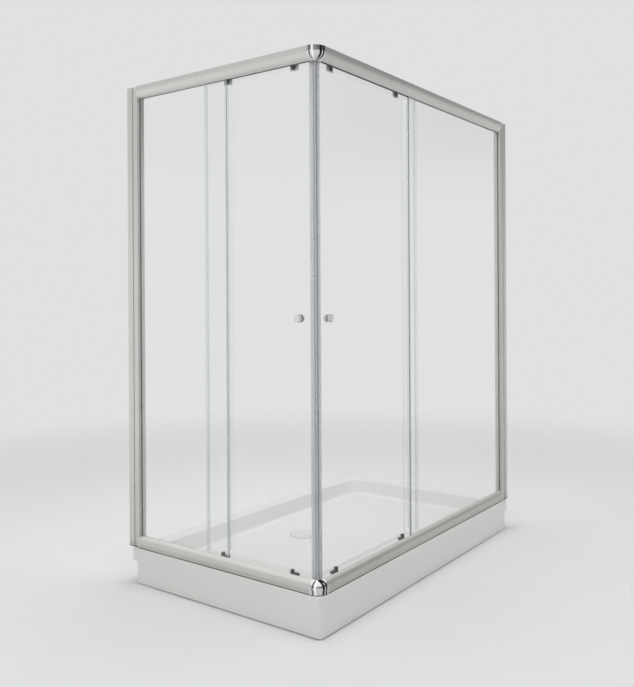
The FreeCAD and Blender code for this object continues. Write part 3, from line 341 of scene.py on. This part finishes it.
# %% [markdown]
# ## Safety glass
#
# The panes are tempered clear glass, five millimetres thick. Seen through its face such glass has almost no colour,
# and seen along a cut edge it is sea green, because the light has come a long way through it. The furnace rollers
# leave a slow wave, and water leaves a film that is a little denser towards the foot. Real refraction would make the
# panes throw hard dark shadows on the tray, so rays that go to the lamps pass straight through. The cut edge of a
# door lies under its seals and nearly vanishes, so there most rays pass straight too.

# %% The glass finish, for each side
def safety_glass(name, face_axis, capped):
    finish, place = begin(name)
    facing = axis_of(place.node("ShaderNodeTexCoord", out="Normal"), face_axis)
    cut_edge = 1 - step(facing.node("ShaderNodeMath", {"operation": "ABSOLUTE"}, {0: facing}), 0.4, 0.8)
    furnace_wave = cloud(place, 5.0, 1.0)
    film = step(cloud(stretched(place, 1.0, 1.0, 0.35), 16.0, 4.0), 0.50, 0.80)
    foot = 1 - step(axis_of(place, "Z"), 0.15, 0.75)
    tone = blend(cut_edge, rgb(0.985, 0.994, 0.990), rgb(0.66, 0.78, 0.75))
    pane = surface(
        place,
        Base_Color=tone,
        Roughness=0.004 + 0.010 * film + 0.006 * foot + 0.45 * cut_edge,
        Transmission_Weight=1.0,
        IOR=1.5,
        Normal=relief(furnace_wave, 0.0008, 0.08),
    )
    clear = place.node("ShaderNodeBsdfTransparent", None, {"Color": rgb(0.95, 0.965, 0.96)})
    to_lamp = place.node("ShaderNodeLightPath", out="Is Shadow Ray")
    straight = to_lamp.math("MAXIMUM", to_lamp, cut_edge * capped)
    return close(finish, place.node("ShaderNodeMixShader", None, {0: straight, 1: pane, 2: clear}))


BARE, CAPPED = 0.1, 0.9
dress(safety_glass("fixed_glass_short_side", "X", BARE), "fixed_glass_left")
dress(safety_glass("fixed_glass_long_side", "Y", BARE), "fixed_glass_right")
dress(safety_glass("door_glass_short_side", "X", CAPPED), "door_glass_left")
dress(safety_glass("door_glass_long_side", "Y", CAPPED), "door_glass_right")

# %% [markdown]
# ## Clear seals and the magnet strips
#
# The door edges carry soft clear vinyl profiles: one holds the magnet that keeps the doors shut, others brush along
# the fixed panes. Vinyl slowly goes milky, and so thin a profile hardly bends the light, so it is a white glossy
# body that most rays pass straight through. The magnet is a strip of rubber loaded with iron powder, dark grey with
# a faint grain along its length.

# %% The vinyl and the magnet
def vinyl(name, fresh, milky_tone, clearness):
    finish, place = begin(name)
    milky = cloud(stretched(place, 30.0, 30.0, 3.0), 1.0, 3.0)
    drawn = cloud(stretched(place, 900.0, 900.0, 4.0), 1.0, 2.0)
    body = surface(
        place,
        Base_Color=blend(milky, fresh, milky_tone),
        Roughness=0.12 + 0.10 * milky + 0.05 * drawn,
        IOR=1.5,
        Normal=relief(drawn, 0.0001, 0.2),
    )
    clear = place.node("ShaderNodeBsdfTransparent", None, {"Color": rgb(0.97, 0.975, 0.98)})
    to_lamp = place.node("ShaderNodeLightPath", out="Is Shadow Ray")
    see_through = to_lamp.math("MAXIMUM", to_lamp, clearness - 0.15 * milky)
    return close(finish, place.node("ShaderNodeMixShader", None, {0: see_through, 1: body, 2: clear}))


edge_vinyl = vinyl("clear_edge_vinyl", rgb(0.80, 0.815, 0.82), rgb(0.74, 0.755, 0.76), 0.92)
magnet_vinyl = vinyl("milky_magnet_vinyl", rgb(0.78, 0.79, 0.82), rgb(0.68, 0.69, 0.72), 0.74)
dress(edge_vinyl, "rail_glazing_strips", "edge_seal_left", "edge_seal_right")
dress(edge_vinyl, "trailing_seal_left", "trailing_seal_right")
dress(magnet_vinyl, "magnet_profile_left", "magnet_profile_right")

magnet, place = begin("magnet_rubber")
drawn = cloud(stretched(place, 800.0, 800.0, 6.0), 1.0, 3.0)
powder = cloud(place, 1500.0, 2.0)
tone = blend(drawn * 0.6 + powder * 0.4, rgb(0.09, 0.09, 0.094), rgb(0.16, 0.16, 0.164))
close(
    magnet,
    surface(place, Base_Color=tone, Roughness=0.45 + 0.2 * powder, Normal=relief(powder, 0.0001, 0.3)),
)
dress(magnet, "magnet_strip_left", "magnet_strip_right")

# %% [markdown]
# ## Moulded plastics
#
# The roller carriers are pale nylon with a dark cap outside the pane, the bottom guides are grey, the wheels natural
# nylon, the waste cover and the rail ends white, and the feet black. They come out of spark-eroded moulds, so all
# share a fine even tooth, a slightly uneven colour and a shine that rubbing has raised in spots. One function takes
# the two colours and the shine. A carrier lies flat on its pane, and two faces in one place would be drawn black, so
# its skin is drawn in by a hair.

# %% The moulded finishes
CAP_GREY = rgb(0.085, 0.086, 0.09)
CAP_FADE = 0.0003
HAIR = 0.0002


def moulded_plastic(name, dark, pale, shine, tooth_depth, capped_beyond=None):
    finish, place = begin(name)
    tooth = cloud(place, 1400.0, 2.0)
    flow = cloud(stretched(place, 18.0, 18.0, 60.0), 1.0, 3.0)
    rubbed = step(cloud(place, 55.0, 4.0), 0.55, 0.75)
    tone = blend(flow * 0.7 + tooth * 0.3, dark, pale)
    if capped_beyond:
        axis, face = capped_beyond
        tone = blend(step(axis_of(place, axis), face - CAP_FADE, face), CAP_GREY, tone)
    return close(
        finish,
        surface(
            place,
            Base_Color=tone,
            Roughness=shine + 0.12 * tooth - 0.12 * rubbed,
            IOR=1.5,
            Normal=relief(tooth, tooth_depth, 0.4),
        ),
    )


plunger_grey = moulded_plastic("plunger_grey", rgb(0.42, 0.425, 0.43), rgb(0.52, 0.525, 0.53), 0.42, 0.0001)
wheel_nylon = moulded_plastic("wheel_nylon", rgb(0.60, 0.585, 0.54), rgb(0.70, 0.69, 0.65), 0.36, 0.00005)
white_plastic = moulded_plastic("white_plastic", rgb(0.72, 0.715, 0.70), rgb(0.80, 0.795, 0.785), 0.30, 0.00006)
foot_black = moulded_plastic("foot_black", rgb(0.020, 0.020, 0.021), rgb(0.042, 0.042, 0.043), 0.5, 0.00015)
guide_grey = moulded_plastic("guide_grey", rgb(0.17, 0.172, 0.176), rgb(0.26, 0.262, 0.266), 0.40, 0.0001)
CARRIER_TONES = rgb(0.74, 0.74, 0.725), rgb(0.82, 0.82, 0.805)
for side, axis, number in (("left", "X", 0), ("right", "Y", 1)):
    pane_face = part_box(f"door_glass_{side}")[0][number]
    carrier = moulded_plastic(f"carrier_nylon_{side}", *CARRIER_TONES, 0.42, 0.0001, (axis, pane_face))
    dress(carrier, f"roller_carriers_{side}")
    ease = solids[f"roller_carriers_{side}"].modifiers.new("hair_gap", "DISPLACE")
    ease.mid_level, ease.strength = 0.0, -HAIR
dress(guide_grey, "guide_bodies_left", "guide_bodies_right")
ENDS = [(end, side) for end in ("front", "rear") for side in ("left", "right")]
dress(plunger_grey, *[f"release_plunger_{end}_{side}" for end, side in ENDS])
dress(wheel_nylon, *[f"top_wheel_{end}_{side}" for end, side in ENDS])
dress(wheel_nylon, *[f"guide_wheel_{end}_{side}" for end, side in ENDS])
dress(white_plastic, "waste_cover", "waste_trap", "rail_end_blocks")
dress(foot_black, "leg_pads")

# %% [markdown]
# ## Rubber, zinced steel and chipboard
#
# Three plain workshop finishes remain. The gaskets and the stops are grey rubber with bloom on it, the screws and the
# legs are zinc-plated steel with the mottled bloom of the bath, and the board glued under the tray is chipboard,
# flakes of wood pressed in resin. The flakes are cells whose colours are drawn at random.

# %% Rubber, steel and board
rubber, place = begin("gasket_rubber")
bloom = cloud(place, 40.0, 4.0)
pores = cloud(place, 1100.0, 2.0)
tone = blend(bloom, rgb(0.30, 0.30, 0.30), rgb(0.38, 0.378, 0.375))
close(
    rubber,
    surface(place, Base_Color=tone, Roughness=0.62 + 0.2 * bloom, Normal=relief(pores, 0.0001, 0.3)),
)
dress(rubber, "post_gaskets", "door_stops", "waste_seal")

zinc, place = begin("zinced_steel")
spangle = axis_of(cells(place, 420.0, "Color"), "X")
bath = cloud(place, 30.0, 3.0)
tone = blend(spangle * 0.5 + bath * 0.5, rgb(0.50, 0.505, 0.51), rgb(0.66, 0.66, 0.64))
close(
    zinc,
    surface(
        place,
        Base_Color=tone,
        Metallic=1.0,
        Roughness=0.26 + 0.16 * bath + 0.06 * spangle,
        Normal=relief(bath, 0.0002, 0.2),
    ),
)
dress(zinc, "leg_rods", "leg_nuts", "post_screws", "knob_stud_left", "knob_stud_right")

board, place = begin("chipboard")
flake = axis_of(cells(stretched(place, 1.0, 1.6, 1.0), 190.0, "Color"), "X")
fibre = cloud(stretched(place, 1.0, 6.0, 1.0), 220.0, 3.0)
wood = [
    (0.0, rgb(0.23, 0.15, 0.085)),
    (0.35, rgb(0.38, 0.27, 0.16)),
    (0.7, rgb(0.50, 0.37, 0.23)),
    (1.0, rgb(0.60, 0.47, 0.31)),
]
mixed = flake * 0.75 + fibre * 0.25
tone = mixed.node("ShaderNodeValToRGB", {"stops": wood}, {"Fac": mixed}, "Color")
close(
    board,
    surface(place, Base_Color=tone, Roughness=0.78 + 0.12 * fibre, Normal=relief(mixed, 0.0005, 0.4)),
)
dress(board, "tray_base_board")
print("dressed", len(dressed), "of", len(solids), "solids; bare:", sorted(set(solids) - dressed))

# %% [markdown]
# ## The studio floor and its light
#
# The shower stands on a pale floor in a pale studio. A curved paper sweep would stand in the way of views from
# behind, so the floor is one wide sheet whose far part passes into the colour of the studio itself, and the shadow
# under the tray stays. The eye sees that plain colour, directly and through the panes. The light that falls on
# things is set apart from it, lower, so that whites do not clip. A mirror in an all-white room looks like white
# plastic, so mirrors alone see what is put round polished metal for a picture: sides of different brightness,
# narrow black boards, and a soft glow beside the camera. The far floor gives mirrors the same, so that no line
# shows in the panes where the two meet.

# %% The world and the floor
BACKDROP = rgb(0.75, 0.75, 0.755)
LAMPLIT_SHARE = 0.43
LOW_SHORT_SIDE, LOW_LONG_SIDE = rgb(1.0, 1.0, 1.0), rgb(0.84, 0.84, 0.84)
SHORT_SIDE, LONG_SIDE = rgb(0.58, 0.58, 0.58), rgb(0.19, 0.189, 0.186)
OVERHEAD = rgb(1.25, 1.25, 1.25)
BOARD_BLACK, GLOW = rgb(0.02, 0.02, 0.02), rgb(1.6, 1.6, 1.6)
# Each stripe is a bearing in degrees, then its half width and its feather
FIRST_BOARD, SECOND_BOARD, THIRD_BOARD = (272.0, 0.17, 0.04), (302.0, 0.13, 0.03), (170.0, 0.07, 0.05)
GLOW_STRIPE = (196.0, 0.03, 0.14)


def ray_is(wire, kind):
    """1 for the rays of a kind, as a camera, a mirror or a pane sends them."""
    return wire.node("ShaderNodeLightPath", out=f"Is {kind} Ray")


def dot(vector, fixed):
    """How far a vector points along a fixed one, from -1 to 1."""
    return vector.node("ShaderNodeVectorMath", {"operation": "DOT_PRODUCT"}, {0: vector, 1: fixed}, "Value")


def lit_sides(direction):
    """What mirrors see in a direction: pale low down and behind the shower, darker higher up, white overhead."""
    height = axis_of(direction, "Z")
    to_long_side = step(dot(direction, level), -0.8, 0.8)
    low = blend(to_long_side, LOW_SHORT_SIDE, LOW_LONG_SIDE)
    middle = blend(to_long_side, SHORT_SIDE, LONG_SIDE)
    lifted = blend(step(height, 0.32, 0.55), blend(step(height, 0.10, 0.22), low, middle), OVERHEAD)
    return blend(step(dot(direction, ahead), 0.4, 0.8), lifted, BACKDROP)


def stripe(direction, bearing, half_wide, feather):
    """1 within an upright stripe at a bearing, from the floor to overhead, and 0 outside its feathered sides."""
    turn = math.radians(bearing)
    aside = dot(direction, (-math.sin(turn), math.cos(turn), 0.0))
    offset = aside.node("ShaderNodeMath", {"operation": "ABSOLUTE"}, {0: aside})
    facing = step(dot(direction, (math.cos(turn), math.sin(turn), 0.0)), 0.02, 0.12)
    return facing * (1 - step(offset, half_wide, half_wide + feather))


def boarded(direction, plain, sides):
    """A plain colour, but for mirrors that of the sides, with black boards and a glow round the entry corner."""
    mirrored = ray_is(direction, "Glossy") * (1 - ray_is(direction, "Transmission"))
    boards = stripe(direction, *FIRST_BOARD) + stripe(direction, *SECOND_BOARD) + stripe(direction, *THIRD_BOARD)
    glowing = blend(stripe(direction, *GLOW_STRIPE), blend(boards, sides, BOARD_BLACK), GLOW)
    return blend(mirrored, plain, glowing)


world = bpy.data.worlds.new("pale_studio")
bpy.context.scene.world = world
world.use_nodes = True
world.node_tree.nodes.clear()
air = Wire(world.node_tree)
to_eye = air.math("MAXIMUM", ray_is(air, "Camera"), ray_is(air, "Glossy"))
looked_at = air.math("MAXIMUM", to_eye, ray_is(air, "Transmission"))
direction = air.node("ShaderNodeTexCoord", out="Generated")
shade = LAMPLIT_SHARE + (1 - LAMPLIT_SHARE) * looked_at
round_about = boarded(direction, BACKDROP, lit_sides(direction))
sky = air.node("ShaderNodeBackground", None, {"Color": round_about, "Strength": shade})
air.node("ShaderNodeOutputWorld", None, {"Surface": sky})
print("world of", len(world.node_tree.nodes), "nodes")

FADE_START, FADE_END = 1.3, 4.5
floor_finish, place = begin("pale_floor")
reach = place.node("ShaderNodeVectorMath", {"operation": "LENGTH"}, {0: place}, "Value")
far = step(reach, FADE_START, FADE_END)
mottle = cloud(place, 3.0, 4.0)
mottled = blend(mottle, rgb(0.88, 0.88, 0.88), rgb(0.91, 0.91, 0.91))
entry = Vector((*packed_box[0][:2], 0.0))
from_entry = place.node("ShaderNodeVectorMath", {"operation": "SUBTRACT"}, {0: place, 1: entry}, "Vector")
bearing = place.node("ShaderNodeVectorMath", {"operation": "NORMALIZE"}, {0: from_entry}, "Vector")
# Seen in mirrors the near floor takes painted black stripes and a painted glow, which the metal shows as reflections.
near_floor = surface(place, Base_Color=boarded(bearing, mottled, mottled), Roughness=0.65 + 0.1 * mottle)
horizon = boarded(bearing, BACKDROP, lit_sides(bearing))
far_floor = place.node("ShaderNodeEmission", None, {"Color": horizon})
close(floor_finish, place.node("ShaderNodeMixShader", None, {0: far, 1: near_floor, 2: far_floor}))

FLOOR_HALF = 60.0
sheet = bpy.data.meshes.new("studio_floor")
sheet.from_pydata(
    [(x * FLOOR_HALF, y * FLOOR_HALF, 0.0) for x, y in ((-1, -1), (1, -1), (1, 1), (-1, 1))], [], [(0, 1, 2, 3)]
)
sheet.materials.append(floor_finish)
floor = bpy.data.objects.new("studio_floor", sheet)
bpy.context.collection.objects.link(floor)
print("floor", 2 * FLOOR_HALF, "m wide")

# %% [markdown]
# ## The lamps
#
# In the photograph the short side and its end of the tray are bright and the long side is a stop darker, so the main
# softbox stands on the short side, and a weaker one faces the long side. A wide lamp overhead fills the tray.
# Wide lamps give the soft edges of shade that a shower in a shop window has.

# %% Softboxes
MIDDLE = Vector((0.0, 0.0, 0.9))


def softbox(name, at, wide, tall, watts, aim=MIDDLE):
    lamp = bpy.data.lights.new(name, "AREA")
    lamp.shape, lamp.size, lamp.size_y, lamp.energy = "RECTANGLE", wide, tall, watts
    stand = bpy.data.objects.new(name, lamp)
    stand.location = at
    stand.rotation_euler = (aim - Vector(at)).to_track_quat("-Z", "Y").to_euler()
    stand.visible_camera = stand.visible_glossy = stand.visible_transmission = False
    bpy.context.collection.objects.link(stand)
    print(name, watts, "W,", wide, "by", tall, "m")


softbox("short_side_softbox", (-4.6, -0.6, 2.6), 3.0, 3.0, 48.0)
softbox("long_side_softbox", (1.8, -5.0, 2.2), 3.0, 3.0, 32.0)
softbox("overhead_softbox", (0.0, 0.0, 4.6), 3.5, 3.5, 116.0)
